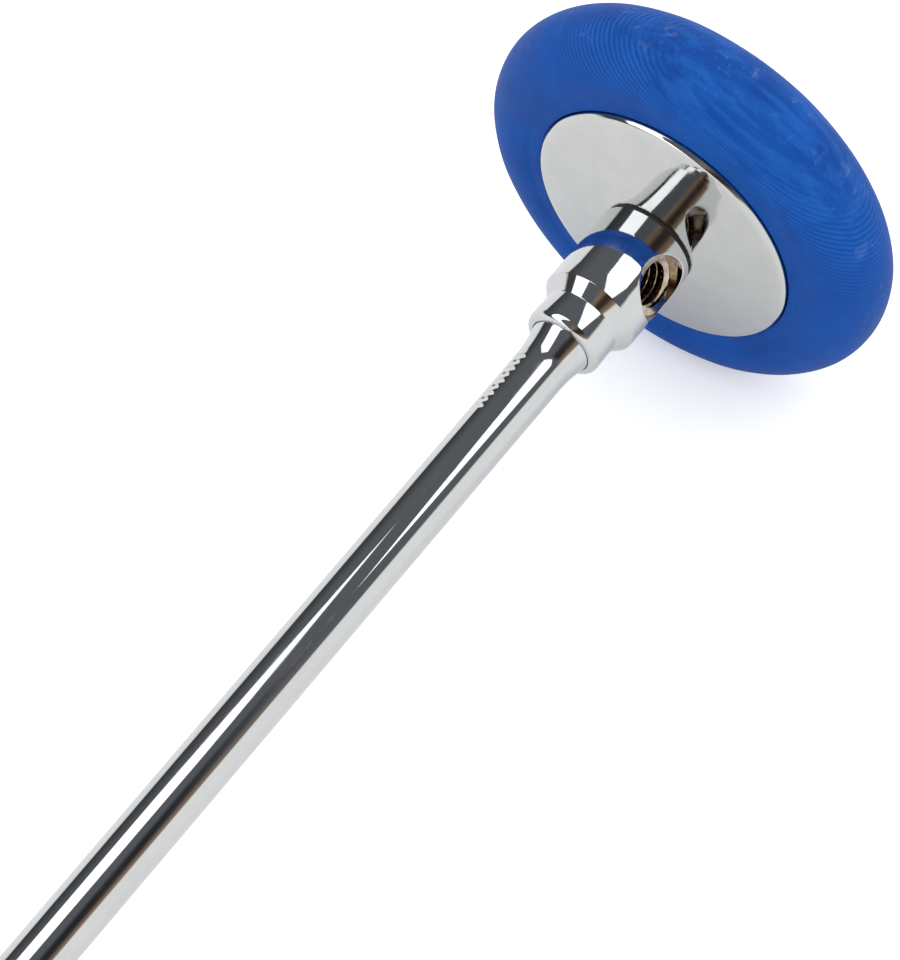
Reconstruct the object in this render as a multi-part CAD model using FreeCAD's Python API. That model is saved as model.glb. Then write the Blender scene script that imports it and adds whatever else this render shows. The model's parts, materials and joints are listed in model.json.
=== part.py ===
import FreeCAD, Part
import math
import os

# Reflex hammer with a rubber ring clamped between two domed plates. The handle screws into the neck
# in line with the head, and a second, crosswise socket in the neck takes the same thread.
#
# Every piece is turned about the hammer's own axis, so it is drawn with that axis as Z: zero is the
# middle of the ring and +Z points to the handle's tip. At the end the hammer is laid on the ground,
# resting on the ring and the tip, with its head towards +X.
# All lengths are in millimetres and all angles in degrees.

# Striking ring
ring_outer_radius = 25.0
ring_section_radius = 5.65

# Domed plates
plate_short_of_ring_middle = 3.3  # from a plate's edge out to the middle of the ring's section
plate_thickness = 1.2
plate_dome_rise = 2.65
plate_edge_radius = 0.45
plate_seat_margin = 0.15  # flat middle of a plate beyond what stands on it
rim_bite = 0.2  # how deep a plate's rim presses into the ring

# Hub inside the ring
hub_grip = 0.5  # how much of the ring's bore the hub flattens

# Clamp: the neck's stud in a slotted sleeve nut
clamp_stud_radius = 2.5
clamp_end_gap = 1.5
nut_end_metal = 2.3  # from the front plate's seat to the bottom of the nut's bore
sleeve_radius = 3.5
sleeve_short_of_back_plate = 1.5
nut_head_radius = 5.2
nut_rim_height = 0.7
nut_dome_height = 1.0
nut_slot_width = 1.2
nut_slot_depth = 0.9
clamp_clearance = 0.1
clamp_thread_clearance = 0.03

# Neck
neck_washer_thickness = 0.35
neck_washer_inset = 0.12
barrel_radius = 5.62
barrel_length = 10.6
barrel_base_chamfer = 0.12
cone_length = 1.5
collar_root_radius = 4.4
collar_radius = 4.52
collar_edge_radius = 0.8
cross_socket_from_base = 4.56
cross_socket_turn = -77.0
socket_web = 0.95  # metal between the cross socket and the bottom of the axial one

# Handle thread, one standard screw for both sockets
thread_radius = 3.0
thread_pitch = 1.0
thread_crest_share = 0.125  # flat width on a crest or in a root, as a share of the pitch
thread_land_share = 0.25
thread_clearance = 0.12
stud_length = 6.0
stud_end_gap = 0.4
stud_end_chamfer = 0.5
stud_relief_length = 1.0
socket_relief_length = 1.0
socket_relief_clearance = 0.05
bore_sectors = 6  # a socket's bore is drawn in equal sectors, so that its wall has faces of equal angle

# Socket mouth and what goes into it
mouth_depth = 1.6
shoulder_step = 0.55  # how far the handle's shoulder stands out past its shaft and its thread
cross_seat_margin = 0.06
shoulder_clearance = 0.05
lock_washer_thickness = 0.5
lock_washer_clearance = 0.1

# Handle
shaft_radius = 3.0
flare_length = 3.9
handle_length = 190.0
taper_length = 28.0
tip_radius = 1.4

# Row of graduation marks cut in the handle
mark_count = 9
mark_pitch = 0.95
mark_width = 0.28
mark_long = 1.1
mark_short = 0.65
mark_depth = 0.1
mark_start = 4.2
mark_turn = 36.0

# Worked out from the sizes above
ring_mid_radius = ring_outer_radius - ring_section_radius
plate_radius = ring_mid_radius - plate_short_of_ring_middle
rim_seat = math.sqrt(ring_section_radius**2 - (ring_mid_radius - plate_radius) ** 2)
rim_top = rim_seat - rim_bite + plate_thickness
plate_seat = rim_top + plate_dome_rise
plate_inner_seat = plate_seat - plate_thickness
plate_flat_radius = max(barrel_radius, nut_head_radius) + plate_seat_margin
hub_radius = ring_mid_radius - ring_section_radius + hub_grip
hub_half_flange = math.sqrt(ring_section_radius**2 - (ring_section_radius - hub_grip) ** 2)
nut_bore_end = nut_end_metal - plate_seat
clamp_stud_tip = nut_bore_end + clamp_end_gap
neck_base = plate_seat + neck_washer_thickness
barrel_end = neck_base + barrel_length
collar_start = barrel_end + cone_length
cross_socket_height = neck_base + cross_socket_from_base
socket_depth = stud_length - lock_washer_thickness + stud_end_gap
axial_bottom = cross_socket_height + thread_radius + socket_web
axial_seat = axial_bottom + socket_depth
collar_end = axial_seat + mouth_depth
shoulder_radius = max(shaft_radius, thread_radius) + shoulder_step
mouth_radius = shoulder_radius + shoulder_clearance
cross_seat = math.sqrt(barrel_radius**2 - mouth_radius**2) - cross_seat_margin
shoulder_base = axial_seat + lock_washer_thickness
stud_end = shoulder_base - stud_length
flare_end = collar_end + flare_length
tip_end = collar_end + handle_length
taper_start = tip_end - taper_length

# Thread form: a 60 degree V whose flats are shares of the pitch
flank_slope = math.tan(math.radians(30))
thread_depth = thread_pitch * (1 - thread_crest_share - thread_land_share) / 2 / flank_slope
socket_radius = thread_radius - thread_depth
stud_radius = thread_radius - thread_clearance
stud_root_radius = socket_radius - thread_clearance
cutter_overrun = 0.3  # how far a thread cutter stands out of the surface it cuts


def flat(radius, height):
    """A point of a turned outline."""
    return FreeCAD.Vector(radius, 0, height)


def turned(start, *steps):
    """Turn an outline of (radius, height) points about Z. A pair of points is an arc, through and to."""
    edges = []
    here = flat(*start)
    for step in steps + (start,):
        if isinstance(step[0], tuple):
            through, end = flat(*step[0]), flat(*step[1])
            edges.append(Part.Arc(here, through, end).toShape())
        else:
            end = flat(*step)
            edges.append(Part.makeLine(here, end))
        here = end
    face = Part.Face(Part.Wire(edges))
    return face.revolve(FreeCAD.Vector(0, 0, 0), FreeCAD.Vector(0, 0, 1), 360)


def rod(radius, low, high):
    """A plain cylinder on the axis between two heights."""
    return Part.makeCylinder(radius, high - low, FreeCAD.Vector(0, 0, low))


def sectored_rod(radius, low, high, sectors):
    """The same cylinder made of equal sectors, each with its own piece of the wall."""
    up = FreeCAD.Vector(0, 0, 1)
    base = FreeCAD.Vector(0, 0, low)
    angle = 360 / sectors
    wedges = [Part.makeCylinder(radius, high - low, base, up, angle) for _ in range(sectors)]
    for i, wedge in enumerate(wedges):
        wedge.rotate(base, up, i * angle)
    return wedges[0].fuse(wedges[1:])


def rounded_corner(radius, height, edge):
    """Arc that rounds an outer corner of an outline, coming from the outside: through and to."""
    reach = edge * math.sqrt(0.5)
    middle = (radius - edge + reach, height - edge + reach)
    return (middle, (radius - edge, height))


def thread_groove(inner, inner_width, outer, outer_width, low, high, middle):
    """Solid of a right-hand helical groove about Z between two heights. Its middle crosses +X at one height."""
    outline = [
        (inner, -inner_width / 2),
        (outer, -outer_width / 2),
        (outer, outer_width / 2),
        (inner, inner_width / 2),
    ]
    if outer_width > inner_width:  # an outside thread: the cutter goes on outwards, straight
        outline[2:2] = [(outer + cutter_overrun, side * outer_width / 2) for side in (-1, 1)]
    else:
        outline = [(inner - cutter_overrun, -inner_width / 2)] + outline
        outline += [(inner - cutter_overrun, inner_width / 2)]
    corners = [flat(radius, low + height) for radius, height in outline]
    profile = Part.makePolygon(corners + corners[:1])
    helix = Part.makeLongHelix(thread_pitch, high - low, thread_radius)
    helix.translate(FreeCAD.Vector(0, 0, low))
    groove = Part.Wire(helix.Edges).makePipeShell([profile], True, True)
    turn = 360 * (low - middle) / thread_pitch
    groove.rotate(FreeCAD.Vector(0, 0, 0), FreeCAD.Vector(0, 0, 1), turn)
    return groove


def threaded_socket():
    """What a socket removes, as a bore and a groove: its seat is at zero, its mouth opens towards +Z."""
    relief_top = socket_relief_length - socket_depth
    bore = sectored_rod(socket_radius, -socket_depth, mouth_depth, bore_sectors)
    relief = rod(thread_radius + socket_relief_clearance, -socket_depth, relief_top)
    mouth = rod(mouth_radius, 0, mouth_depth + barrel_radius)
    opening = thread_pitch * (1 - thread_land_share)
    root = thread_pitch * thread_crest_share
    low = relief_top - opening / 2
    groove = thread_groove(socket_radius, opening, thread_radius, root, low, opening, 0)
    return bore.fuse(relief).fuse(mouth), groove


def striking_ring():
    """Rubber ring of round section, pressed in by the hub and the rims of both plates."""
    ring = Part.makeTorus(ring_mid_radius, ring_section_radius)
    ring = ring.cut(rod(hub_radius, -ring_section_radius, ring_section_radius))
    return ring.cut(back_plate()).cut(front_plate())


def hub():
    """Turned hub: a flange that centres the ring and a boss that holds the plates apart."""
    boss = plate_flat_radius - plate_seat_margin
    body = turned(
        (sleeve_radius + clamp_clearance, -plate_inner_seat),
        (boss, -plate_inner_seat),
        (boss, -hub_half_flange),
        (hub_radius, -hub_half_flange),
        (hub_radius, hub_half_flange),
        (boss, hub_half_flange),
        (boss, plate_inner_seat),
        (sleeve_radius + clamp_clearance, plate_inner_seat),
    )
    return body


def domed_plate(hole_radius):
    """Spun plate with a flat middle and a spherical dome that falls to the rim."""
    fall = plate_dome_rise
    centre = (plate_flat_radius**2 + fall**2 - plate_radius**2) / 2 / fall
    dome = math.hypot(plate_radius, centre)
    middle = (plate_flat_radius + plate_radius) / 2
    lift = rim_top + centre + math.sqrt(dome**2 - middle**2)
    plate = turned(
        (hole_radius, plate_inner_seat),
        (plate_flat_radius, plate_inner_seat),
        ((middle, lift - plate_thickness), (plate_radius, rim_top - plate_thickness)),
        (plate_radius, rim_top),
        ((middle, lift), (plate_flat_radius, plate_seat)),
        (hole_radius, plate_seat),
    )
    rim = [
        edge
        for edge in plate.Edges
        if abs(edge.BoundBox.ZMax - rim_top) < 1e-6 and edge.BoundBox.ZLength < 1e-6
    ]
    return plate.makeFillet(min(plate_edge_radius, plate_thickness / 2.5), rim)


def back_plate():
    """Plate on the handle's side, bored for the neck's stud."""
    return domed_plate(clamp_stud_radius + clamp_clearance)


def front_plate():
    """Plate on the far side, bored for the sleeve nut."""
    plate = domed_plate(sleeve_radius + clamp_clearance)
    plate.rotate(FreeCAD.Vector(0, 0, 0), FreeCAD.Vector(1, 0, 0), 180)
    return plate


def clamp_nut():
    """Sleeve nut with a low domed head and a screwdriver slot. It screws onto the neck's stud."""
    rim = -plate_seat - nut_rim_height
    top = rim - nut_dome_height
    dome = (nut_head_radius**2 + nut_dome_height**2) / 2 / nut_dome_height
    middle = nut_head_radius / 2
    nut = turned(
        (0, top),
        ((middle, top + dome - math.sqrt(dome**2 - middle**2)), (nut_head_radius, rim)),
        (nut_head_radius, -plate_seat),
        (sleeve_radius, -plate_seat),
        (sleeve_radius, plate_inner_seat - sleeve_short_of_back_plate),
        (clamp_stud_radius + clamp_thread_clearance, plate_inner_seat - sleeve_short_of_back_plate),
        (clamp_stud_radius + clamp_thread_clearance, nut_bore_end),
        (0, nut_bore_end),
    )
    slot = Part.makeBox(
        2 * nut_head_radius + 1,
        nut_slot_width,
        nut_slot_depth,
        FreeCAD.Vector(-nut_head_radius - 0.5, -nut_slot_width / 2, top),
    )
    return nut.cut(slot)


def neck_washer():
    """Thin dark washer between the neck and the back plate."""
    outer = barrel_radius - neck_washer_inset
    disc = rod(outer, plate_seat, neck_base)
    return disc.cut(rod(clamp_stud_radius + clamp_clearance, plate_seat, neck_base))


def neck():
    """Turned neck with a clamp stud below, a barrel, a cone and a collar, and two threaded sockets."""
    body = turned(
        (0, clamp_stud_tip),
        (clamp_stud_radius, clamp_stud_tip),
        (clamp_stud_radius, neck_base),
        (barrel_radius - barrel_base_chamfer, neck_base),
        (barrel_radius, neck_base + barrel_base_chamfer),
        (barrel_radius, barrel_end),
        (collar_root_radius, collar_start),
        (collar_radius, collar_end - collar_edge_radius),
        rounded_corner(collar_radius, collar_end, collar_edge_radius),
        (0, collar_end),
    )
    for tool in threaded_socket():
        axial = tool.copy()
        axial.translate(FreeCAD.Vector(0, 0, axial_seat))
        cross = tool.copy()
        cross.translate(FreeCAD.Vector(0, 0, cross_seat))
        cross.rotate(FreeCAD.Vector(0, 0, 0), FreeCAD.Vector(0, 1, 0), 90)
        cross.rotate(FreeCAD.Vector(0, 0, 0), FreeCAD.Vector(0, 0, 1), cross_socket_turn)
        cross.translate(FreeCAD.Vector(0, 0, cross_socket_height))
        body = body.cut(axial).cut(cross)
    return body


def lock_washer():
    """Small ring under the handle's shoulder. It travels with the handle but need not turn with it."""
    low, high = axial_seat, axial_seat + lock_washer_thickness
    ring = rod(mouth_radius - lock_washer_clearance, low, high)
    return ring.cut(rod(thread_radius + lock_washer_clearance / 2, low, high))


def graduation_marks():
    """Short cuts across the handle near its head, every other one longer."""
    cuts = []
    for i in range(mark_count):
        length = mark_long if i % 2 == 0 else mark_short
        height = collar_end + mark_start + i * mark_pitch
        corner = FreeCAD.Vector(shaft_radius - mark_depth, -length / 2, height)
        cuts.append(Part.makeBox(shaft_radius, length, mark_width, corner))
    marks = Part.makeCompound(cuts)
    marks.rotate(FreeCAD.Vector(0, 0, 0), FreeCAD.Vector(0, 0, 1), mark_turn)
    return marks


def handle_rod():
    """Round rod: threaded stud, shoulder, hollow flare, long shaft and a taper to a blunt tip."""
    step = shoulder_radius - shaft_radius
    flare = (flare_length**2 + step**2) / 2 / step
    half = flare_length / 2
    flare_middle = shaft_radius + flare - math.sqrt(flare**2 - half**2)
    round_end = (tip_radius * math.sqrt(0.5), tip_end - tip_radius * (1 - math.sqrt(0.5)))
    body = turned(
        (0, stud_end),
        (stud_radius - stud_end_chamfer, stud_end),
        (stud_radius, stud_end + stud_end_chamfer),
        (stud_radius, shoulder_base),
        (shoulder_radius, shoulder_base),
        (shoulder_radius, collar_end),
        ((flare_middle, collar_end + half), (shaft_radius, flare_end)),
        (shaft_radius, taper_start),
        (tip_radius, tip_end - tip_radius),
        (round_end, (0, tip_end)),
    )
    opening = thread_pitch * (1 - thread_crest_share)
    root = opening - 2 * thread_depth * flank_slope
    low, high = stud_end - opening, shoulder_base - stud_relief_length / 2
    middle = axial_seat + thread_pitch / 2  # so that each crest lies in a groove of the socket
    groove = thread_groove(stud_root_radius, root, stud_radius, opening, low, high, middle)
    relief_low = shoulder_base - stud_relief_length
    relief = rod(thread_radius + 1, relief_low, shoulder_base)
    relief = relief.cut(rod(stud_root_radius, relief_low, shoulder_base))
    return body.cut(groove).cut(relief).cut(graduation_marks())


def resting_tilt():
    """Angle of the axis when the ring and the round of the tip both touch the ground."""
    reach = tip_end - tip_radius
    lean = math.atan2(ring_mid_radius, reach)
    return math.degrees(lean + math.asin((ring_section_radius - tip_radius) / math.hypot(ring_mid_radius, reach)))


def laid_down(pieces):
    """Turn the pieces so that the hammer lies on the ground, centred in plan on its bounding box."""
    turn = FreeCAD.Rotation(FreeCAD.Vector(0, 1, 0), -90 - resting_tilt())
    upright = FreeCAD.Placement(FreeCAD.Vector(0, 0, 0), turn)
    for piece in pieces.values():
        piece.Placement = upright.multiply(piece.Placement)
    box = Part.makeCompound(list(pieces.values())).optimalBoundingBox(False)
    low = ring_mid_radius * math.cos(math.radians(resting_tilt())) + ring_section_radius
    for piece in pieces.values():
        piece.translate(FreeCAD.Vector(-box.Center.x, -box.Center.y, low))
    return FreeCAD.Placement(FreeCAD.Vector(-box.Center.x, -box.Center.y, low), turn)


pieces = {
    "striking_ring": striking_ring(),
    "hub": hub(),
    "back_plate": back_plate(),
    "front_plate": front_plate(),
    "clamp_nut": clamp_nut(),
    "neck_washer": neck_washer(),
    "neck": neck(),
    "lock_washer": lock_washer(),
    "handle_rod": handle_rod(),
}
lying = laid_down(pieces)

os.makedirs("parts", exist_ok=True)
for name, piece in pieces.items():
    piece.exportStep(f"parts/{name}.step")
    box = piece.optimalBoundingBox(False)
    print(f"{name:14s} solids {len(piece.Solids)} valid {piece.isValid()} volume {piece.Volume:9.1f} mm3", end="")
    print(f"  x {box.XMin:8.3f} {box.XMax:8.3f}  y {box.YMin:8.3f} {box.YMax:8.3f}  z {box.ZMin:8.3f} {box.ZMax:8.3f}")
print(f"resting tilt {resting_tilt():.3f} degrees, collar end {collar_end:.2f} mm, tip {tip_end:.2f} mm")
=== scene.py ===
# %% [markdown]
# # A reflex hammer, finished around its CAD frame
# A neurologist's hammer is a rubber ring held between two domed plates, a turned neck and a round rod that
# screws into it. The CAD model fixes every size and joint. Here each piece gets a fine surface and a finish.
# The frame is loaded first, and its nodes are kept, so that each new piece's box can be compared with its
# node's.

# %% Load the frame
import json
import math

import bmesh
import bpy
import numpy as np
from mathutils import Matrix, Vector


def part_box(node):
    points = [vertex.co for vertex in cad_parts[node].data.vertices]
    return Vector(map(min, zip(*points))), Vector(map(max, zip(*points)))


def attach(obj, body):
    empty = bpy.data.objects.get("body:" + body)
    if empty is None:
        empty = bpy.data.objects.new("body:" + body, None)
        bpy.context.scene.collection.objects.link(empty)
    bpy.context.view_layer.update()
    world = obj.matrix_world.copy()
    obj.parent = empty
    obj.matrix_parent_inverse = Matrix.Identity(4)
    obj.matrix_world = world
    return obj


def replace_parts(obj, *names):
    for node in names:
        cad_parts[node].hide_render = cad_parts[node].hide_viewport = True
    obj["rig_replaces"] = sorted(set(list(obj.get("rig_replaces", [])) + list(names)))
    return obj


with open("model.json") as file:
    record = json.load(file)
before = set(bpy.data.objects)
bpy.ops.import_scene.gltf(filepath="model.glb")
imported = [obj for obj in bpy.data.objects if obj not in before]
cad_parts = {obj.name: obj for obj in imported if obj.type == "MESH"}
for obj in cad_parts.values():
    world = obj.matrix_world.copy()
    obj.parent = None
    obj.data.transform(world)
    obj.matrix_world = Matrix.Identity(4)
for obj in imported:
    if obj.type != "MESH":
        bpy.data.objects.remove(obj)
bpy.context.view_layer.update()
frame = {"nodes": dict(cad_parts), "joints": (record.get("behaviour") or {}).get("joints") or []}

# %% [markdown]
# ## Hammer coordinates
# A turned piece is easiest to describe about its own axis, in millimetres: height along the axis from the
# middle of the ring to the tip, and radius from the axis. The screw joint gives the axis, and the point
# where the handle's shoulder stands on it, so both come from the frame.

# %% From hammer coordinates to the row frame
MM = 0.001
shoulder_base = 23.496

screw = next(joint for joint in frame["joints"] if joint["name"] == "handle_turn")
along = np.array(screw["axis"]) / np.linalg.norm(screw["axis"])
side = np.array((0.0, 1.0, 0.0))
across = np.cross(side, along)
basis = np.stack((across, side, along))
ring_centre = np.array(screw["pos_m"]) - shoulder_base * MM * along


def in_row_frame(points):
    """Metres in the row frame: the ring's centre plus each hammer coordinate times its own direction."""
    return ring_centre + MM * points @ basis


print("ring centre", ring_centre.round(5), "axis", along.round(4))

# %% [markdown]
# ## Camera
# A long lens from above and behind the handle, close to the head. The view is given by an azimuth and an
# elevation about the ring, by the distance, and by how far the ring's centre stands off the lens's axis.
# The camera comes early, so that every piece can be looked at as soon as it is made.

# %% Place the camera
view_azimuth = math.radians(-143.76)
view_elevation = math.radians(50.75)
view_distance = 0.43426
ring_right_of_middle = 0.02611
ring_above_middle = 0.03117

toward = Vector((math.cos(view_elevation) * math.cos(view_azimuth),
                 math.cos(view_elevation) * math.sin(view_azimuth),
                 math.sin(view_elevation)))
right = Vector((0, 0, 1)).cross(toward).normalized()
above = toward.cross(right)
eye = Vector(ring_centre) - ring_right_of_middle * right - ring_above_middle * above + view_distance * toward

lens = bpy.data.cameras.new("camera")
lens.lens = 150
lens.sensor_width = 36
lens.clip_start = 0.01
camera = bpy.data.objects.new("camera", lens)
camera.matrix_world = Matrix((right, above, toward)).transposed().to_4x4()
camera.location = eye
bpy.context.scene.collection.objects.link(camera)
bpy.context.scene.camera = camera
print("camera at", tuple(round(value, 4) for value in eye))

# %% [markdown]
# ## Surfaces from grids
# Every piece is a grid of points, rows by columns, worked out with numpy. A quad joins each four
# neighbouring points. Where a row shrinks to a point, or two grids meet, their points coincide, and welding
# them closes the pole or the seam.

# %% Grid, weld and shade
WELD = 2e-6  # metres, far below the closest neighbours on any piece


def grid(points, closed=True, without=None, recess=0.0):
    """Points and quads of one grid. A quad runs along its row, up and back, so it faces outwards when the
    rows go up the outside and the columns go round anticlockwise. `without` marks quads to leave out."""
    rows, columns = points.shape[:2]
    row, column = np.meshgrid(np.arange(rows - 1), np.arange(columns - (not closed)), indexing="ij")
    beside = (column + 1) % columns
    here = row * columns
    there = here + columns
    quads = np.stack((here + column, here + beside, there + beside, there + column), axis=-1)
    quads = quads.reshape(-1, 4) if without is None else quads[~without]
    return {"points": points.reshape(-1, 3), "quads": quads,
            "recess": np.broadcast_to(recess, (rows, columns)).ravel()}


def make_piece(name, *grids, sharp=32):
    """One closed mesh from grids in hammer coordinates. Edges that turn by more than `sharp` degrees stay
    crisp, and all others are shaded smooth."""
    starts = np.cumsum([0] + [len(part["points"]) for part in grids])
    points = np.concatenate([part["points"] for part in grids])
    quads = np.concatenate([part["quads"] + start for part, start in zip(grids, starts)])
    recess = np.concatenate([part["recess"] for part in grids])
    mesh = bpy.data.meshes.new(name)
    mesh.vertices.add(len(points))
    mesh.vertices.foreach_set("co", in_row_frame(points).astype(np.float32).ravel())
    mesh.loops.add(quads.size)
    mesh.loops.foreach_set("vertex_index", quads.astype(np.int32).ravel())
    mesh.polygons.add(len(quads))
    mesh.polygons.foreach_set("loop_start", np.arange(0, quads.size, 4, dtype=np.int32))
    mesh.update(calc_edges=True)
    mesh.attributes.new("recess", "FLOAT", "POINT").data.foreach_set("value", recess.astype(np.float32))
    welded = bmesh.new()
    welded.from_mesh(mesh)
    bmesh.ops.remove_doubles(welded, verts=welded.verts, dist=WELD)
    open_edges = sum(not edge.is_manifold for edge in welded.edges)
    welded.to_mesh(mesh)
    welded.free()
    mesh.shade_smooth()
    mesh.set_sharp_from_angle(angle=math.radians(sharp))
    piece = bpy.data.objects.new(name, mesh)
    bpy.context.scene.collection.objects.link(piece)
    print(f"{name}: {len(mesh.polygons)} faces, {open_edges} open edges, volume sign",
          "out" if signed_volume(mesh) > 0 else "IN")
    return piece


def signed_volume(mesh):
    """Sum over faces of centre dot area vector, over three. It is positive when the faces point outwards."""
    count = len(mesh.polygons)
    centre, normal, area = np.empty(count * 3), np.empty(count * 3), np.empty(count)
    mesh.polygons.foreach_get("center", centre)
    mesh.polygons.foreach_get("normal", normal)
    mesh.polygons.foreach_get("area", area)
    return float(((centre * normal).reshape(-1, 3).sum(axis=1) * area).sum() / 3)


# %% Turned shapes
def turned(radius, height, angles):
    """Surface of revolution: a point at (radius, height) goes to radius times cosine, radius times sine and
    height. Radius and height hold one value per row, or one per row and column."""
    radius, height = (np.asarray(part, float) for part in (radius, height))
    radius = radius[:, None] if radius.ndim == 1 else radius
    height = height[:, None] if height.ndim == 1 else height
    return np.stack(np.broadcast_arrays(radius * np.cos(angles), radius * np.sin(angles), height), axis=-1)


def outline(*corners, steps=5):
    """Outline through corners of (radius, height). A third value rounds a corner: the arc's middle lies on
    the line that halves the corner's angle, at rounding over the sine of half that angle."""
    runs = []
    for before, corner, after in zip(corners[-1:] + corners[:-1], corners, corners[1:] + corners[:1]):
        here = np.array(corner[:2], float)
        if len(corner) == 2:
            runs.append(here[None])
            continue
        to_before, to_after = (np.array(point[:2], float) - here for point in (before, after))
        to_before /= np.linalg.norm(to_before)
        to_after /= np.linalg.norm(to_after)
        half = math.acos(np.clip(to_before @ to_after, -1, 1)) / 2
        inward = (to_before + to_after) / np.linalg.norm(to_before + to_after)
        forward = (to_after - to_before) / np.linalg.norm(to_after - to_before)
        turn = np.linspace(-1, 1, steps + 1)[:, None] * (math.pi / 2 - half)
        middle = here + inward * corner[2] / math.sin(half)
        runs.append(middle + corner[2] * (forward * np.sin(turn) - inward * np.cos(turn)))
    return np.concatenate(runs)


def around(count, start=0.0):
    """Evenly spaced angles round the axis, from a start angle."""
    return start + np.arange(count) * 2 * math.pi / count


def loop_of(profile):
    """The profile with its first point again at the end, for a ring that closes both ways."""
    return np.concatenate((profile, profile[:1]))


# %% [markdown]
# ## Striking ring
# The ring is a torus of soft rubber. Each plate's rim is sunk into a seat in it, so a lip of rubber stands
# beside the rim almost as high as the plate. The ring isn't perfect: it was poured, trimmed and used, so its
# section has long shallow lumps. They are real displacement along the section's radius, always inwards, so
# the ring never grows past its nominal size.

# %% Ring surface
ring_outer_radius = 25.0
ring_section_radius = 5.65
ring_mid_radius = ring_outer_radius - ring_section_radius
plate_short_of_ring_middle = 3.3
plate_radius = ring_mid_radius - plate_short_of_ring_middle
rim_bite = 0.2
lump_depth = 0.11
wave_sizes = (1.0, 0.7, 0.5, 0.35)
lip_start = -1.6  # this and the next are across the section, from its middle
lip_inner = -3.21
lip_height = 5.33
lip_calm = 0.6  # no lumps this close to the lip
seat_inner = -3.58
seat_height = 4.37


def ring_section():
    """Section about its own middle: the circle's outer part, a lip, the seat under the rim, and the circle's
    inner part, then the same mirrored below."""
    def on_circle(start, end, count):
        first, last = (math.acos(place / ring_section_radius) for place in (start, end))
        turn = np.linspace(first, last, count)
        return ring_section_radius * np.stack((np.cos(turn), np.sin(turn)), axis=-1)

    outer = on_circle(ring_section_radius, lip_start, 46)
    inner = on_circle(seat_inner, -ring_section_radius, 20)
    lip = outline(
        tuple(outer[-1]),
        (lip_inner, lip_height, 0.14),
        (lip_inner, seat_height, 0.05),
        (seat_inner, seat_height),
    )
    fill = outer[-1] + np.linspace(0, 1, 8)[1:-1, None] * (lip[1] - outer[-1])
    upper = np.concatenate((outer, fill, lip[1:-1], inner))
    return np.concatenate((upper, upper[-2::-1] * (1, -1)))


def ring_surface(columns=576):
    """The section turned about the axis. Its radius loses a sum of long waves, except at the lips."""
    turn = around(columns)
    section = ring_section()
    reach = np.hypot(section[:, 0], section[:, 1])[:, None]
    around_section = np.arctan2(section[:, 1], section[:, 0])[:, None]
    phases = (3 * turn + 2.0 * np.sin(around_section + 0.6), 7 * turn - 2 * around_section + 1.3,
              11 * turn + 3 * around_section + 0.4, 19 * turn - around_section + 2.2)
    waves = sum(size * np.sin(phase) for size, phase in zip(wave_sizes, phases))
    lumps = lump_depth * (waves / sum(wave_sizes) + 1) / 2
    away_from_lip = np.clip(np.abs(section[:, :1] - lip_inner) - lip_calm, 0, 1)
    radius = reach - away_from_lip * lumps
    return turned(ring_mid_radius + radius * np.cos(around_section), radius * np.sin(around_section), turn)


striking_ring = make_piece("rubber_ring", grid(ring_surface()))

# %% [markdown]
# ## Domed plates
# Each plate is pressed from sheet: a flat middle, a shallow dome and a rolled rim that bears on the rubber.
# The dome is a shallow cone whose last millimetre rolls over to the rim, so it mirrors the neck almost like
# a flat mirror. Both faces follow it, so the outline goes up the rim, in over the dome and back out under
# it.

# %% Plate surfaces
plate_thickness = 1.2
plate_dome_rise = 2.65
plate_edge_radius = 0.3
plate_under_edge = 0.2
plate_hole_edge = 0.06
dome_cone_share = 0.85
dome_roll_power = 40
plate_seat_margin = 0.15
clamp_stud_radius = 2.5
clamp_clearance = 0.1
sleeve_radius = 3.5
barrel_radius = 5.62

rim_seat = math.sqrt(ring_section_radius**2 - plate_short_of_ring_middle**2)
rim_top = rim_seat - rim_bite + plate_thickness
plate_seat = rim_top + plate_dome_rise
plate_flat_radius = barrel_radius + plate_seat_margin


def dome_height(radius):
    """Height of the outer face. Most of the fall grows with the share of the way from the flat to the rim,
    and the rest with the share to a high power, which rolls the rim over."""
    share = np.clip((radius - plate_flat_radius) / (plate_radius - plate_flat_radius), 0, 1)
    fall = dome_cone_share * share + (1 - dome_cone_share) * share**dome_roll_power
    return plate_seat - plate_dome_rise * fall


def plate_surface(hole_radius, columns=256, dome_rows=44):
    """A plate turned from its outline: hole, flat middle and dome underneath, rim, dome and flat on top."""
    share = 1 - (1 - np.linspace(0, 1, dome_rows)) ** 2  # closer together towards the rim
    radii = plate_flat_radius + 0.05 + share * (plate_radius - plate_flat_radius - 0.25)
    under = [(radius, dome_height(radius) - plate_thickness) for radius in radii]
    over = [(radius, dome_height(radius)) for radius in radii[::-1]]
    profile = outline(
        (hole_radius, plate_seat, plate_hole_edge),
        (hole_radius, plate_seat - plate_thickness, plate_hole_edge),
        (plate_flat_radius, plate_seat - plate_thickness),
        *under,
        (plate_radius, rim_top - plate_thickness, plate_under_edge),
        (plate_radius, rim_top, plate_edge_radius),
        *over,
        (plate_flat_radius, plate_seat),
        steps=8,
    )
    profile = loop_of(profile)
    return turned(profile[:, 0], profile[:, 1], around(columns))


back_plate = make_piece("back_plate_polished", grid(plate_surface(clamp_stud_radius + clamp_clearance)))
mirrored = plate_surface(sleeve_radius + clamp_clearance)[::-1] * (1, 1, -1)
front_plate = make_piece("front_plate_polished", grid(mirrored))

# %% [markdown]
# ## Hub
# The hub hides inside: a turned flange centres the ring and a boss keeps the plates apart. It only shows
# when the head is taken apart, so it is a plain turned outline with broken edges.

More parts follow.
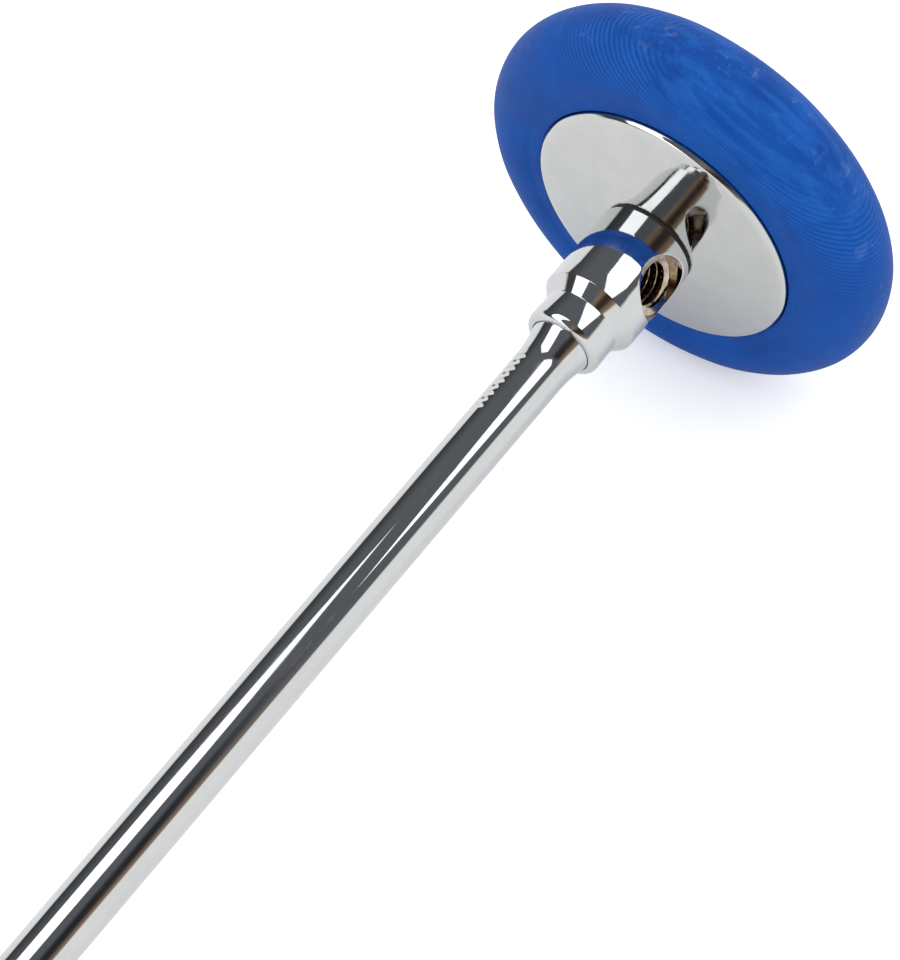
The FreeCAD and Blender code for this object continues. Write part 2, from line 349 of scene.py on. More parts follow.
# %% Hub surface
hub_grip = 0.5
hub_radius = ring_mid_radius - ring_section_radius + hub_grip
hub_half_flange = math.sqrt(ring_section_radius**2 - (ring_section_radius - hub_grip) ** 2)
hub_bore = sleeve_radius + clamp_clearance
boss_radius = plate_flat_radius - plate_seat_margin
boss_end = plate_seat - plate_thickness

hub_profile = loop_of(outline(
    (hub_bore, boss_end, 0.15),
    (hub_bore, -boss_end, 0.15),
    (boss_radius, -boss_end, 0.15),
    (boss_radius, -hub_half_flange, 0.3),
    (hub_radius, -hub_half_flange, 0.2),
    (hub_radius, hub_half_flange, 0.2),
    (boss_radius, hub_half_flange, 0.3),
    (boss_radius, boss_end, 0.15),
))
hub = make_piece("hub_turned", grid(turned(hub_profile[:, 0], hub_profile[:, 1], around(128))))

# %% [markdown]
# ## Screw thread
# The handle's stud and both sockets share one thread. Along a thread only one number matters: how far a
# point is, in turns, from the middle of the nearest groove. The radius is the root near zero, the crest
# near one half, and a straight flank between them, eased a little as polishing leaves it.

# %% Thread radius
thread_radius = 3.0
thread_pitch = 1.0
thread_crest_share = 0.125
thread_land_share = 0.25
thread_clearance = 0.12
flank_slope = math.tan(math.radians(30))
thread_depth = thread_pitch * (1 - thread_crest_share - thread_land_share) / 2 / flank_slope
stud_radius = thread_radius - thread_clearance
row_step = 0.042  # along a thread, in millimetres


def off_groove(turns):
    """Distance to the nearest whole number of turns, from 0 in a groove's middle to one half on a crest."""
    return np.abs(turns - np.round(turns))


def eased(share):
    """Mostly a straight ramp from 0 to 1, with a third of a smooth one mixed in to soften its ends."""
    share = np.clip(share, 0, 1)
    return share * 2 / 3 + share**2 * (3 - 2 * share) / 3


def socket_wall(depth, turns):
    """Radius of a threaded bore at a depth under its seat: full radius less the thread's depth on crests."""
    root, opening = thread_crest_share / 2, (1 - thread_land_share) / 2
    off = off_groove(-depth / thread_pitch - turns)
    return thread_radius - thread_depth * eased((off - root) / (opening - root))


def stud_wall(height, turns):
    """Radius of the stud's thread at a height over the socket's seat."""
    opening = (1 - thread_crest_share) / 2
    root = opening - thread_depth * flank_slope / thread_pitch
    off = off_groove(height / thread_pitch - 0.5 - turns)
    return stud_radius - thread_depth * (1 - eased((off - root) / (opening - root)))


# %% [markdown]
# ## Neck
# The neck is one turned piece: a clamp stud, a barrel, a cone and a collar, with one socket in line and one
# crosswise. Cutting the cross hole with a boolean would leave long ragged faces that a mirror finish shows
# up. Instead the barrel's grid leaves out a window, and a second grid fills it. Its first row is the
# window's edge, point for point, and its next rows close in to the hole, roll over the rim and go down the
# bore.

# %% Neck sizes
neck_washer_thickness = 0.35
neck_base = plate_seat + neck_washer_thickness
barrel_end = neck_base + 10.6
collar_start = barrel_end + 1.5
cross_height = neck_base + 4.56
cross_turn = math.radians(-77)
socket_depth = 5.9
socket_relief = 1.0
relief_radius = thread_radius + 0.05
shoulder_radius = thread_radius + 0.55
mouth_radius = shoulder_radius + 0.05
axial_seat = cross_height + thread_radius + 0.95 + socket_depth
collar_end = axial_seat + 1.6
cross_seat = math.sqrt(barrel_radius**2 - mouth_radius**2) - 0.06
clamp_stud_tip = -4.436
base_chamfer = 0.12
collar_radius = 4.4
collar_mouth_radius = 4.52
neck_columns = 160
window_columns = 24  # half of the window's width
window_rows = 16  # half of its height
window_step = 0.2625

angles = around(neck_columns, cross_turn)
barrel_step = 2 * math.pi / neck_columns
print(f"cross hole at {cross_height:.3f}, its seat at {cross_seat:.3f}, collar ends at {collar_end:.3f}")


# %% Outside and in-line socket
def neck_outside():
    """Outline up the outside and down the mouth, then rows of thread, whose radius also depends on the
    angle, then the plain relief at the bottom. The quads of the barrel's window are left out."""
    window = cross_height + window_step * np.arange(-window_rows, window_rows + 1)
    profile = outline(
        (0, clamp_stud_tip),
        (clamp_stud_radius, clamp_stud_tip, 0.25),
        (clamp_stud_radius, neck_base),
        (barrel_radius - base_chamfer, neck_base),
        (barrel_radius, neck_base + base_chamfer),
        (barrel_radius, window[0]),
        *[(barrel_radius, height) for height in window[1:]],
        (barrel_radius, barrel_end, 0.14),
        (collar_radius, collar_start, 0.2),
        (collar_mouth_radius, collar_end, 0.8),
        (mouth_radius, collar_end, 0.05),
        (mouth_radius, axial_seat),
        steps=7,
    )
    thread = np.arange(0, socket_depth - socket_relief, row_step)
    bore = socket_wall(thread[:, None], angles / 2 / math.pi)
    floor = axial_seat - socket_depth
    radius = np.concatenate((
        np.broadcast_to(profile[:, :1], (len(profile), neck_columns)),
        bore,
        np.broadcast_to([[relief_radius], [relief_radius], [0]], (3, neck_columns)),
    ))
    height = np.concatenate((profile[:, 1], axial_seat - thread, [floor + socket_relief, floor, floor]))
    depth = np.concatenate((np.zeros(len(profile)), np.full(len(thread) + 3, 1.0)))
    first = np.flatnonzero(np.isclose(height, window[0]))[0]
    beside = (np.arange(neck_columns) + window_columns) % neck_columns < 2 * window_columns
    inside = np.zeros(len(height) - 1, bool)
    inside[first:first + 2 * window_rows] = True
    return grid(turned(radius, height, angles), without=inside[:, None] & beside, recess=depth[:, None])


# %% Window and cross socket
def window_edge():
    """Steps along the window's edge, anticlockwise from the middle of one side: columns and rows counted
    from the window's middle."""
    wide, tall = window_columns, window_rows
    columns = np.concatenate((np.full(tall, wide), np.arange(wide, -wide, -1), np.full(2 * tall, -wide),
                              np.arange(-wide, wide), np.full(tall, wide)))
    rows = np.concatenate((np.arange(tall), np.full(2 * wide, tall), np.arange(tall, -tall, -1),
                           np.full(2 * wide, -tall), np.arange(-tall, 0)))
    return columns * barrel_step, rows * window_step


def cross_socket():
    """Rows from the window's edge to the bottom of the cross socket. On the barrel a point at distance
    `reach` from the socket's axis stands at the root of barrel radius squared less (reach cosine) squared.
    The rim rolls over by a quarter circle whose size follows the metal left above the seat."""
    edge_angle, edge_height = window_edge()
    turn = around(len(edge_angle))
    cosine, sine = np.cos(turn), np.sin(turn)
    roll = 0.045 + 0.1 * sine**2
    start = mouth_radius + roll

    blend = np.linspace(0, 1, 9)[:, None] ** 0.8
    angle = edge_angle + blend * (np.arcsin(start * cosine / barrel_radius) - edge_angle)
    skin_side = barrel_radius * np.sin(angle)
    skin_up = edge_height + blend * (start * sine - edge_height)
    skin_out = barrel_radius * np.cos(angle)

    bend = np.linspace(0, math.pi / 2, 7)[1:, None]
    reach = start - roll * np.sin(bend)
    rolled_out = np.sqrt(barrel_radius**2 - (reach * cosine) ** 2) - roll * (1 - np.cos(bend))

    wall = np.linspace(0, 1, 5)[1:, None]
    wall_out = rolled_out[-1] + wall * (cross_seat - rolled_out[-1])

    depth = np.arange(0, socket_depth - socket_relief, row_step)[:, None]
    bore = socket_wall(depth, turn / 2 / math.pi + 0.25)
    floor = cross_seat - socket_depth
    reach = np.concatenate((
        reach,
        np.broadcast_to(mouth_radius, wall_out.shape),
        bore,
        np.broadcast_to([[relief_radius], [relief_radius], [0]], (3, len(turn))),
    ))
    flat = np.broadcast_to([[floor + socket_relief], [floor], [floor]], (3, len(turn)))
    out = np.concatenate((rolled_out, wall_out, np.broadcast_to(cross_seat - depth, bore.shape), flat))
    points_side = np.concatenate((skin_side, reach * cosine))
    points_up = np.concatenate((skin_up, reach * sine)) + cross_height
    points_out = np.concatenate((skin_out, out))
    outward, tangent = (np.cos(cross_turn), np.sin(cross_turn)), (-np.sin(cross_turn), np.cos(cross_turn))
    points = np.stack((points_out * outward[0] + points_side * tangent[0],
                       points_out * outward[1] + points_side * tangent[1],
                       points_up), axis=-1)
    # The recess rises to one half through the mouth, and from there to 1 down the thread.
    mouth_start = barrel_radius - 0.25 - np.abs(points_side) / 8
    into_mouth = np.clip((mouth_start - points_out) / 0.4, 0, 1)
    into_thread = np.clip((cross_seat - 0.15 - points_out) / 1.2, 0, 1)
    recess = (into_mouth + into_thread) / 2
    recess[:len(blend)] = 0
    return grid(points, recess=recess)


neck = make_piece("neck_chromed", neck_outside(), cross_socket())

# %% [markdown]
# ## Clamp nut
# A sleeve nut on the far side pulls the two plates together. Its head is a low dome with a screwdriver
# slot. The head is a disc of straight rows parallel to the slot, so the slot's edges follow rows exactly,
# and the rest is turned on the same angles as the ends of those rows, so the two grids meet point for
# point.

# %% Nut head and sleeve
nut_head_radius = 5.2
nut_rim_height = 0.7
nut_dome_height = 1.0
nut_slot_width = 1.2
nut_slot_depth = 0.9
nut_slot_wall = 0.1
nut_end_metal = 2.3
sleeve_short_of_back_plate = 1.5
nut_bore_radius = clamp_stud_radius + 0.03


def nut_head(half_rows=40, columns=64):
    """Height of the head over its rim: a sphere's cap, cut down to the slot's floor between the slot's
    walls. Each wall is a smooth step."""
    rim_angle = np.linspace(-math.pi / 2, math.pi / 2, half_rows)
    wall = nut_slot_width / 2 + nut_slot_wall * np.linspace(-0.5, 0.5, 6)
    rows = np.sort(np.concatenate((nut_head_radius * np.sin(rim_angle), wall, -wall)))
    rows = np.clip(rows, -nut_head_radius, nut_head_radius)[:, None]
    share = np.sin(np.linspace(-math.pi / 2, math.pi / 2, columns))
    beside = share * np.sqrt(np.maximum(nut_head_radius**2 - rows**2, 0))
    sphere = (nut_head_radius**2 + nut_dome_height**2) / 2 / nut_dome_height
    cap = np.sqrt(sphere**2 - beside**2 - rows**2) - sphere + nut_dome_height
    step = np.clip((np.abs(rows) - nut_slot_width / 2) / nut_slot_wall + 0.5, 0, 1)
    step = step**2 * (3 - 2 * step)
    floor = np.minimum(cap, nut_dome_height - nut_slot_depth)
    height = floor + (cap - floor) * step
    top = -plate_seat - nut_rim_height
    points = np.stack(np.broadcast_arrays(beside, rows, top - height), axis=-1)
    ends = np.arctan2(rows[:, 0], beside[:, -1])
    return points, ends


head_points, right_ends = nut_head()
left_ends = math.pi - right_ends[-2:0:-1]
nut_angles = np.concatenate((right_ends, left_ends))
sleeve_end = boss_end - sleeve_short_of_back_plate
bore_end = nut_end_metal - plate_seat
nut_profile = outline(
    (nut_head_radius, -plate_seat - nut_rim_height),
    (nut_head_radius, -plate_seat, 0.1),
    (sleeve_radius, -plate_seat),
    (sleeve_radius, sleeve_end, 0.2),
    (nut_bore_radius, sleeve_end, 0.2),
    (nut_bore_radius, bore_end),
    (0, bore_end),
)
clamp_nut = make_piece(
    "clamp_nut_chromed",
    grid(head_points[::-1], closed=False),
    grid(turned(nut_profile[:, 0], nut_profile[:, 1], nut_angles)),
)

# %% [markdown]
# ## Washers
# A thin washer seals the neck to the back plate. It is painted near-black as shade for the seam between
# them, and shows as a fine black line. A small nylon ring lies under the handle's shoulder, so that the
# thread can be drawn up tight without scoring the chrome.

# %% Washer surfaces
washer_inset = 0.12
washer_hole = clamp_stud_radius + clamp_clearance
lock_outer = mouth_radius - 0.1
lock_hole = thread_radius + 0.05
lock_thickness = 0.5


def washer_surface(hole, outer, low, high, edge, columns):
    """A flat ring turned from a rectangle with broken edges."""
    profile = loop_of(outline((hole, high, edge), (hole, low, edge), (outer, low, edge), (outer, high, edge),
                              steps=4))
    return turned(profile[:, 0], profile[:, 1], around(columns))


neck_washer = make_piece("neck_washer_fibre", grid(washer_surface(
    washer_hole, barrel_radius - washer_inset, plate_seat, neck_base, 0.05, 160)))
lock_washer = make_piece("lock_washer_nylon", grid(washer_surface(
    lock_hole, lock_outer, axial_seat, axial_seat + lock_thickness, 0.08, 128)))

# %% [markdown]
# ## Handle
# The handle is one rod: a threaded stud, a shoulder, a hollow flare, a long plain shaft and a taper to a
# blunt tip. One grid holds all of it, because its radius is a function of height and angle. Rows are close
# together only along the thread and a row of punched marks.

# %% Handle sizes
shaft_radius = 3.0
stud_end = shoulder_base - 6.0
stud_chamfer = 0.5
stud_relief = 1.0
flare_length = 3.9
flare_end = collar_end + flare_length
tip_end = collar_end + 190.0
taper_length = 28.0
taper_start = tip_end - taper_length
taper_blend = 60.0
tip_radius = 1.4
shoulder_height = collar_end - 0.2
shoulder_step = 1.0
mark_count = 9
mark_pitch = 0.95
mark_half_width = 0.36
mark_depth = 0.1
mark_half_lengths = (0.75, 0.6)  # in turn
mark_row_step = 0.035
mark_margin = 0.1
mark_start = collar_end + 4.2
mark_turn = math.radians(33)
handle_columns = 168


# %% Punched marks and handle surface
def mark_cut(height, angles):
    """Depth of the punched marks. Each is an oval bowl: full depth times one less the squares of the
    distances from its middle along and round the rod, each over its half size."""
    number = np.clip(np.floor((height - mark_start) / mark_pitch), 0, mark_count - 1)
    lengthwise = height - mark_start - (number + 0.5) * mark_pitch
    roundwise = shaft_radius * np.abs((angles - mark_turn + math.pi) % (2 * math.pi) - math.pi)
    half_length = np.where(number % 2 == 0, *mark_half_lengths)
    share = 1 - (lengthwise / mark_half_width) ** 2 - (roundwise / half_length) ** 2
    return mark_depth * np.clip(share, 0, 1)


def handle_surface():
    """Radius by height and angle. The stud's thread is held inside its chamfer, the flare is an arc of
    radius (length squared plus step squared) over twice the step, and the tip is a ball."""
    angles = around(handle_columns)
    turns = angles / 2 / math.pi
    thread = np.arange(stud_end, shoulder_base - stud_relief, row_step)[:, None]
    chamfer = stud_radius - stud_chamfer + (thread - stud_end)
    stud = np.minimum(stud_wall(thread - axial_seat, turns), chamfer)
    relief = np.full((2, handle_columns), stud_radius - thread_depth)
    shoulder = outline(
        (stud_radius - thread_depth, shoulder_base),
        (shoulder_radius, shoulder_base, 0.1),
        (shoulder_radius, shoulder_height),
        (shoulder_radius - shoulder_step, shoulder_height),
    )[:-1]
    step = shoulder_radius - shaft_radius
    flare = (flare_length**2 + step**2) / 2 / step
    flare_height = np.linspace(collar_end, flare_end, 16)
    marks_end = mark_start + mark_count * mark_pitch
    marks = np.arange(mark_start - mark_margin, marks_end, mark_row_step)
    plain = np.concatenate((flare_height[flare_height < mark_start - 1.2 * mark_margin], marks))
    before_end = np.maximum(flare_end - plain, 0)
    base_radius = shaft_radius + flare - np.sqrt(flare**2 - before_end**2)
    body = base_radius[:, None] - mark_cut(plain[:, None], angles)
    slope = math.atan2(shaft_radius - tip_radius, taper_length - tip_radius)
    ball = np.linspace(slope, math.pi / 2, 12)
    taper = outline(
        (shaft_radius, marks_end + 1),
        (shaft_radius, taper_start, taper_blend),
        (tip_radius * math.cos(slope), tip_end - tip_radius + tip_radius * math.sin(slope)),
        (0, tip_end),
        steps=12,
    )[:-2]
    end = np.stack((tip_radius * np.cos(ball), tip_end - tip_radius + tip_radius * np.sin(ball)), axis=-1)
    tail = np.concatenate((taper, end))

    def spread(column):
        """One radius per row, the same at every angle."""
        return np.broadcast_to(np.asarray(column)[:, None], (len(column), handle_columns))

    radius = np.concatenate((spread([0.0]), stud, relief, spread(shoulder[1:, 0]), body, spread(tail[:, 0])))
    height = np.concatenate(([stud_end], thread[:, 0], [shoulder_base - stud_relief, shoulder_base],
                             shoulder[1:, 1], plain, tail[:, 1]))
    return turned(radius, height, angles)


handle_rod = make_piece("handle_chromed", grid(handle_surface()))

# %% [markdown]
# ## Riding, replacing and slots
# Each new piece moves with its CAD body and stands for its CAD node, and the table gives each a material
# slot name. The printout compares each piece's box with its node's box.

# %% Tie the pieces to the frame
ties = [
    (striking_ring, "head", "striking_ring", "blue_rubber"),
    (back_plate, "head", "back_plate", "plate_chrome"),
    (front_plate, "head", "front_plate", "plate_chrome"),
    (hub, "head", "hub", "hub_aluminium"),
    (neck, "head", "neck", "polished_chrome"),
    (clamp_nut, "head", "clamp_nut", "polished_chrome"),
    (neck_washer, "head", "neck_washer", "black_washer"),
    (lock_washer, "washer", "lock_washer", "white_nylon"),
    (handle_rod, "handle", "handle_rod", "polished_chrome"),
]
for piece, body, node, slot in ties:
    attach(piece, body)
    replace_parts(piece, node)
    low, high = (np.array(corner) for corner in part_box(node))
    places = np.empty(len(piece.data.vertices) * 3)
    piece.data.vertices.foreach_get("co", places)
    places = places.reshape(-1, 3)
    gaps = np.concatenate((places.min(axis=0) - low, high - places.max(axis=0))) / MM
    print(f"{piece.name} inside {node} by", gaps.round(3), "mm")

# %% [markdown]
# ## Finishes
# A shader reads object coordinates, and here every object's origin is the row's own, so one Mapping node
# turns them into hammer coordinates in millimetres. Patterns can then follow the axis of the turned pieces.
# Effects that several finishes share are node groups with named sockets.

# %% Node helpers
def add(tree, kind, inputs=None, **settings):
    """Adds a node, sets its options, and sets or links each named input."""
    node = tree.nodes.new(kind)
    for key, value in settings.items():
        setattr(node, key, value)
    for key, value in (inputs or {}).items():
        if isinstance(value, bpy.types.NodeSocket):
            tree.links.new(value, node.inputs[key])
        else:
            node.inputs[key].default_value = value
    return node


def math_node(tree, operation, first, second=0.0, third=0.0):
    """A Math node's output, of up to three numbers or sockets."""
    return add(tree, "ShaderNodeMath", {0: first, 1: second, 2: third}, operation=operation).outputs[0]


def times(tree, first, second):
    """The product of two numbers or sockets."""
    return math_node(tree, "MULTIPLY", first, second)


def remap(tree, value, low, high, to_low=0.0, to_high=1.0):
    """Stretches a value from one range to another, clamped and eased at both ends."""
    node = add(tree, "ShaderNodeMapRange", {"Value": value, "From Min": low, "From Max": high,
                                            "To Min": to_low, "To Max": to_high},
               interpolation_type="SMOOTHSTEP")
    return node.outputs["Result"]


def noise(tree, vector, scale, detail, roughness=0.5, distortion=0.0):
    """A cloudy value about one half. The scale is in cycles per unit of the vector."""
    node = add(tree, "ShaderNodeTexNoise", {"Vector": vector, "Scale": scale, "Detail": detail,
                                            "Roughness": roughness, "Distortion": distortion})
    return node.outputs["Fac"]


def bump(tree, height, depth, under=None):
    """A normal bent by a height from 0 to 1 that stands for a depth in micrometres, over another normal."""
    inputs = {"Height": height, "Distance": depth * 1e-6}
    if under is not None:
        inputs["Normal"] = under
    return add(tree, "ShaderNodeBump", inputs).outputs["Normal"]


def mix_colour(tree, share, first, second):
    """A mix of two colours by a share."""
    node = add(tree, "ShaderNodeMix", {"Factor": share}, data_type="RGBA")
    for socket, value in ((node.inputs[6], first), (node.inputs[7], second)):
        if isinstance(value, bpy.types.NodeSocket):
            tree.links.new(value, socket)
        else:
            socket.default_value = (*value, 1)
    return node.outputs[2]


def new_group(name, inputs, outputs):
    """A shader node group with named sockets, and its input and output nodes. Each input is a name, a
    socket kind and a starting value."""
    group = bpy.data.node_groups.new(name, "ShaderNodeTree")
    for title, kind, value in inputs:
        socket = group.interface.new_socket(title, in_out="INPUT", socket_type=kind)
        if value is not None:
            socket.default_value = value
    for title, kind in outputs:
        group.interface.new_socket(title, in_out="OUTPUT", socket_type=kind)
    return group, group.nodes.new("NodeGroupInput").outputs, group.nodes.new("NodeGroupOutput").inputs


def use_group(tree, group, **inputs):
    """Places a group in a material with its own values."""
    return add(tree, "ShaderNodeGroup", inputs, node_tree=group).outputs


def hammer_mapping(tree, turn=0.0):
    """Object coordinates in metres, turned and moved into hammer coordinates in millimetres. The turn, in
    radians, spins the first two coordinates about the axis."""
    turned_basis = Matrix.Rotation(-turn, 3, "Z") @ Matrix(basis.tolist())
    place = turned_basis @ Vector(ring_centre) / MM
    coordinates = add(tree, "ShaderNodeTexCoord").outputs["Object"]
    mapping = add(tree, "ShaderNodeMapping", {"Vector": coordinates, "Location": -place,
                                              "Rotation": turned_basis.to_euler(),
                                              "Scale": (1 / MM, 1 / MM, 1 / MM)})
    return mapping.outputs["Vector"]


def new_finish(name):
    """A new material with its node tree and its Principled shader."""
    material = bpy.data.materials.new(name)
    material.use_nodes = True
    return material, material.node_tree, material.node_tree.nodes["Principled BSDF"]


# %% [markdown]
# ### Shared effects
# Polished metal is never a clean mirror. Three things break it up: a haze where it is handled, hairline
# marks that follow the way it was turned or rubbed, and a few specks of dust. Each is a group, and each
# metal uses it with its own scale.

# %% Haze, hairlines and specks
def make_haze():
    """Cloudy mask: broad noise plus a little of a finer one, less a level that the cover sets, eased."""
    group, inputs, outputs = new_group(
        "haze", [("Vector", "NodeSocketVector", None), ("Scale", "NodeSocketFloat", 0.3),
                 ("Cover", "NodeSocketFloat", 0.5)], [("Mask", "NodeSocketFloat")])
    broad = noise(group, inputs["Vector"], inputs["Scale"], 4.0, roughness=0.55, distortion=0.6)
    fine = noise(group, inputs["Vector"], times(group, inputs["Scale"], 7.0), 3.0)
    fine_share = 0.35
    total = math_node(group, "ADD", broad,
                      math_node(group, "MULTIPLY_ADD", fine, fine_share, -fine_share / 2))
    level = math_node(group, "SUBTRACT", 0.85, inputs["Cover"])
    above_level = math_node(group, "SUBTRACT", total, level)
    group.links.new(remap(group, above_level, 0.0, 0.3), outputs["Mask"])
    return group


def make_hairlines():
    """Fine lines: noise on stretched coordinates, thin where the stretch is small and long where it is
    large, faded in and out by a slower noise."""
    group, inputs, outputs = new_group(
        "hairlines", [("Vector", "NodeSocketVector", None), ("Stretch", "NodeSocketVector", (0.1, 0.1, 8.0)),
                      ("Threshold", "NodeSocketFloat", 0.62)],
        [("Mask", "NodeSocketFloat"), ("Height", "NodeSocketFloat")])
    stretched = add(group, "ShaderNodeVectorMath", {0: inputs["Vector"], 1: inputs["Stretch"]},
                    operation="MULTIPLY").outputs[0]
    lines = noise(group, stretched, 1.0, 6.0, roughness=0.7)
    fade = noise(group, inputs["Vector"], 0.22, 2.0)
    top = math_node(group, "ADD", inputs["Threshold"], 0.12)
    sharp = add(group, "ShaderNodeMapRange", {"Value": lines, "From Min": inputs["Threshold"],
                                              "From Max": top}).outputs["Result"]
    group.links.new(times(group, sharp, remap(group, fade, 0.42, 0.62)), outputs["Mask"])
    group.links.new(lines, outputs["Height"])
    return group


def make_specks():
    """Dust: small round cells of a Voronoi pattern, kept only where the cell's own random colour is low."""
    group, inputs, outputs = new_group(
        "specks", [("Vector", "NodeSocketVector", None), ("Spacing", "NodeSocketFloat", 1.6),
                   ("Size", "NodeSocketFloat", 0.05), ("Share", "NodeSocketFloat", 0.12)],
        [("Mask", "NodeSocketFloat")])
    scale = math_node(group, "DIVIDE", 1.0, inputs["Spacing"])
    cells = add(group, "ShaderNodeTexVoronoi", {"Vector": inputs["Vector"], "Scale": scale}).outputs
    spot = math_node(group, "LESS_THAN", times(group, cells["Distance"], inputs["Spacing"]), inputs["Size"])
    chance = add(group, "ShaderNodeSeparateColor", {0: cells["Color"]}).outputs[0]
    kept = math_node(group, "LESS_THAN", chance, inputs["Share"])
    group.links.new(times(group, spot, kept), outputs["Mask"])
    return group


haze = make_haze()
hairlines = make_hairlines()
specks = make_specks()
print("groups", [group.name for group in (haze, hairlines, specks)])


# %% [markdown]
# ### Metals
# All the metals are one recipe with different numbers: a base colour that the haze and the recesses darken,
# a low roughness that haze and hairlines raise, and a bump of a few micrometres. The recess attribute was
# worked out with each surface: it is one half in the cross socket's mouth and 1 down in both threads,
# where the colour turns cream in the mouth and darker brown further down, in patches.

# %% Metal recipe
mouth_colour = (0.48, 0.38, 0.28)
brown_recess = (0.23, 0.15, 0.095)
dust_colour = (0.75, 0.74, 0.72)
haze_darkens_to = 0.88


def metal(name, colour, recess_colour, roughness, haze_scale, haze_cover, haze_rough, stretch, line_depth,
          wave_scale, wave_depth):
    """Principled metal. Depths are in micrometres, scales in cycles per millimetre."""
    material, tree, shader = new_finish(name)
    shader.inputs["Metallic"].default_value = 1.0
    place = hammer_mapping(tree)
    cloud = use_group(tree, haze, Vector=place, Scale=haze_scale, Cover=haze_cover)["Mask"]
    lines = use_group(tree, hairlines, Vector=place, Stretch=stretch)
    dust = use_group(tree, specks, Vector=place)["Mask"]

    hazy_colour = [haze_darkens_to * part for part in colour]
    tint = mix_colour(tree, times(tree, cloud, 0.35), colour, hazy_colour)
    # Cream in the socket mouth, darker brown down the threads, broken up by noise.
    deep = add(tree, "ShaderNodeAttribute", attribute_name="recess").outputs["Fac"]
    recess_noise = noise(tree, place, 1.4, 5.0, roughness=0.6)
    recess_tint = times(tree, deep, remap(tree, recess_noise, 0.36, 0.6, 0.4, 1.0))
    tint = mix_colour(tree, remap(tree, recess_tint, 0.0, 0.5), tint, mouth_colour)
    tint = mix_colour(tree, remap(tree, recess_tint, 0.45, 1.0), tint, recess_colour)
    tint = mix_colour(tree, times(tree, dust, 0.5), tint, dust_colour)
    tree.links.new(tint, shader.inputs["Base Color"])

    rough = math_node(tree, "MULTIPLY_ADD", cloud, haze_rough, roughness)
    for mask, amount in ((lines["Mask"], 0.12), (dust, 0.4), (recess_tint, 0.12)):
        rough = math_node(tree, "ADD", rough, times(tree, mask, amount))
    tree.links.new(rough, shader.inputs["Roughness"])

    wavy = bump(tree, noise(tree, place, wave_scale, 1.0), wave_depth)
    tree.links.new(bump(tree, lines["Height"], line_depth, under=wavy), shader.inputs["Normal"])
    return material


chrome_colour = (0.62, 0.63, 0.64)
round_lines = (0.08, 0.08, 9.0)  # stretch of lines that run round a turned piece
long_lines = (5.0, 5.0, 0.05)  # and of lines along it
neck_chrome = metal(
    "neck_chrome", chrome_colour, brown_recess, roughness=0.02, haze_scale=0.28, haze_cover=0.42,
    haze_rough=0.05, stretch=round_lines, line_depth=0.25, wave_scale=0.35, wave_depth=3.0)
handle_chrome = metal(
    "handle_chrome", chrome_colour, brown_recess, roughness=0.022, haze_scale=0.12, haze_cover=0.45,
    haze_rough=0.06, stretch=long_lines, line_depth=0.35, wave_scale=0.16, wave_depth=5.0)
plate_chrome = metal(
    "plate_chrome", (0.60, 0.61, 0.60), brown_recess, roughness=0.03, haze_scale=0.35, haze_cover=0.5,
    haze_rough=0.05, stretch=(1.8, 1.8, 1.8), line_depth=1.0, wave_scale=0.5, wave_depth=3.0)
hub_metal = metal(
    "hub_aluminium", (0.78, 0.79, 0.80), (0.5, 0.5, 0.5), roughness=0.28, haze_scale=0.3, haze_cover=0.5,
    haze_rough=0.1, stretch=(0.1, 0.1, 12.0), line_depth=2.0, wave_scale=0.4, wave_depth=2.0)
print("metals", [item.name for item in (neck_chrome, handle_chrome, plate_chrome, hub_metal)])


# %% [markdown]
# ### Blue rubber
# The ring carries fine combed lines, as if it had been cut or cast in thin parallel slices, so parallel
# planes across the ring make them. Where the planes meet the tread flat on, they give way to long
# streaks, painted lighter as a sheen. Use has scuffed the tread pale in patches. The lines and scuffs are
# masks, and their height goes into the bump.

# %% Rubber finish
# This turn also sets where the painted sheen lies on the tread.
comb_and_sheen_turn = math.radians(-24.35)
comb_pitch = 0.46
rubber_blue = (0.003, 0.066, 0.335)
rubber_dark = (0.002, 0.052, 0.28)
ridge_and_sheen_blue = (0.012, 0.112, 0.46)
rubber_pale = (0.12, 0.20, 0.50)
scuff_depth = 60  # micrometres, like the two below
grain_depth = 8
ridge_depth = 45


def comb(tree, place):
    """Combed lines and a painted sheen: the sine of the distance across the comb, bent by noise, then faded
    where the ring faces along the comb, and long noise instead there, painted lighter as a sheen."""
    across_comb = add(tree, "ShaderNodeSeparateXYZ", {"Vector": place}).outputs["X"]
    bent = math_node(tree, "MULTIPLY_ADD", noise(tree, place, 0.16, 2.0), 0.6, across_comb)
    bent = math_node(tree, "ADD", bent, times(tree, noise(tree, place, 0.9, 3.0), 0.12))
    wave = math_node(tree, "SINE", times(tree, bent, 2 * math.pi / comb_pitch))
    combed = remap(tree, wave, -1.0, 1.0)
    off_middle = math_node(tree, "ABSOLUTE", across_comb)
    shown = remap(tree, noise(tree, place, 0.2, 3.0, distortion=0.8), 0.35, 0.6, 0.25, 1.0)
    shown = times(tree, shown, remap(tree, off_middle, 8.0, 20.0, 0.4, 1.0))
    shown = times(tree, shown, remap(tree, across_comb, 19.0, 23.0, 1.0, 0.12))
    # Painted sheen: long lighter streaks where the tread faces along the comb.
    stretched = add(tree, "ShaderNodeVectorMath", {0: place, 1: (1.5, 0.2, 1.5)}, operation="MULTIPLY")
    streaks = noise(tree, stretched.outputs[0], 0.55, 4.0, roughness=0.6)
    painted_sheen = times(tree, remap(tree, streaks, 0.38, 0.66), remap(tree, off_middle, 17.0, 23.0))
    return math_node(tree, "ADD", times(tree, combed, shown), painted_sheen)


